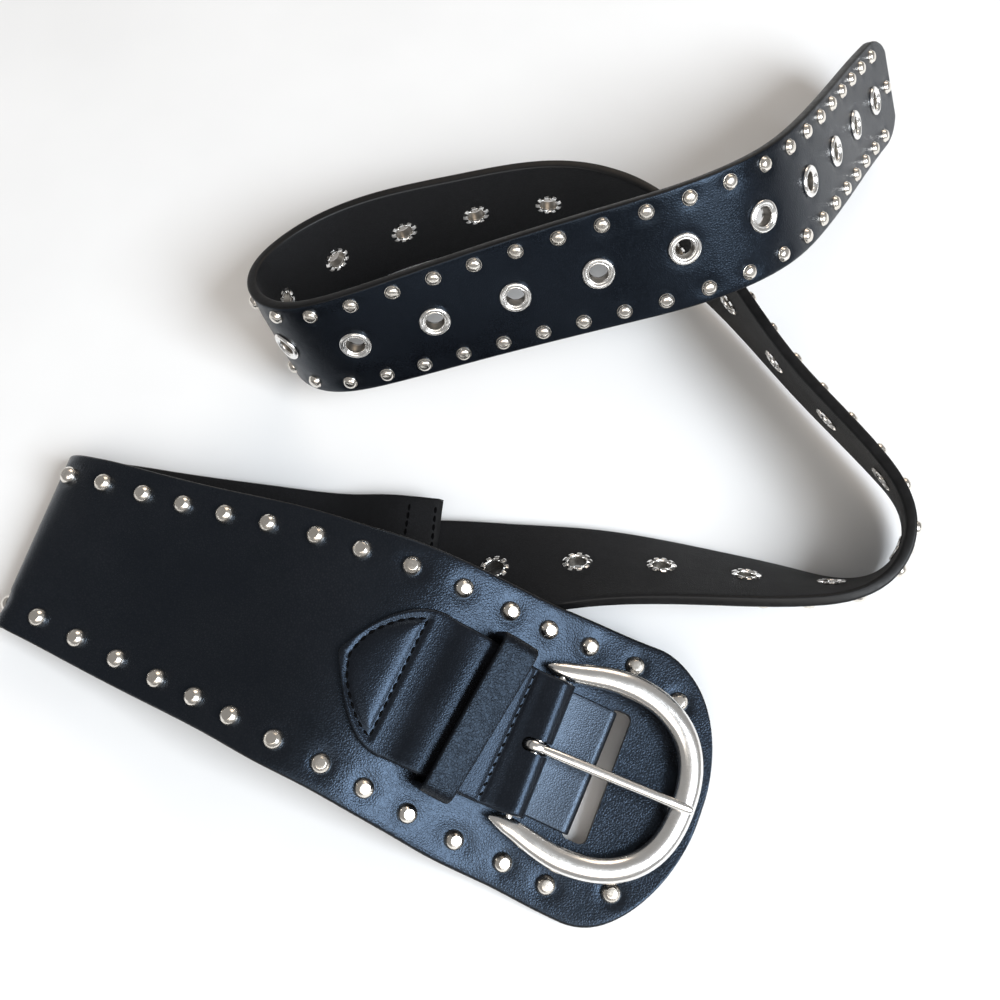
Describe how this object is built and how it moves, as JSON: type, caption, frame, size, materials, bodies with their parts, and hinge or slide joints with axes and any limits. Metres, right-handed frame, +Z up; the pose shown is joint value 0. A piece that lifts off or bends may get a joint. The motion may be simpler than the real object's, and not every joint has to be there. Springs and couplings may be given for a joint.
{
  "type": "studded belt",
  "caption": "Open black leather hip belt: wide front panel with buckle, folded back to a long strap with metal eyelets between two rows of domed studs.",
  "frame": {"origin": "middle of the footprint of the whole belt, on the table it lies on", "axes": "+Z up from the table, +X to the right and +Y away as the belt is seen in the picture"},
  "size_m": [0.3148, 0.3106, 0.0884],
  "materials": {
    "black_leather": "fine pebbled grain, semi-gloss, matte on the inner face",
    "black_tab_leather": "fine pebbled grain, semi-gloss",
    "polished_nickel": "polished nickel"
  },
  "bodies": {
    "belt": {"front_panel": "black_leather", "main_strap": "black_leather", "buckle_tab": "black_tab_leather", "slot_facing": "black_tab_leather", "keeper_loop": "black_tab_leather", "eyelet_01": "polished_nickel", "eyelet_02": "polished_nickel", "eyelet_03": "polished_nickel", "eyelet_04": "polished_nickel", "eyelet_05": "polished_nickel", "eyelet_06": "polished_nickel", "eyelet_07": "polished_nickel", "eyelet_08": "polished_nickel", "eyelet_09": "polished_nickel", "eyelet_10": "polished_nickel", "eyelet_11": "polished_nickel", "eyelet_12": "polished_nickel", "eyelet_13": "polished_nickel", "eyelet_14": "polished_nickel", "eyelet_15": "polished_nickel", "eyelet_16": "polished_nickel", "eyelet_17": "polished_nickel", "eyelet_18": "polished_nickel", "eyelet_19": "polished_nickel", "eyelet_20": "polished_nickel", "eyelet_21": "polished_nickel", "eyelet_22": "polished_nickel", "eyelet_23": "polished_nickel", "eyelet_24": "polished_nickel", "eyelet_25": "polished_nickel", "eyelet_26": "polished_nickel", "eyelet_27": "polished_nickel", "eyelet_28": "polished_nickel"},
    "buckle": {"buckle_frame": "polished_nickel"},
    "tongue": {"buckle_tongue": "polished_nickel"}
  },
  "joints": [
    {"name": "buckle_swing", "type": "hinge", "parent": "belt", "child": "buckle", "pos_m": [0.01607, -0.105, 0.01976], "axis": [-0.3758, -0.9124, -0.162], "range_deg": [0, 25]},
    {"name": "tongue_swing", "type": "hinge", "parent": "buckle", "child": "tongue", "pos_m": [0.01607, -0.105, 0.01976], "axis": [-0.3758, -0.9124, -0.162], "range_deg": [0, 60]}
  ]
}
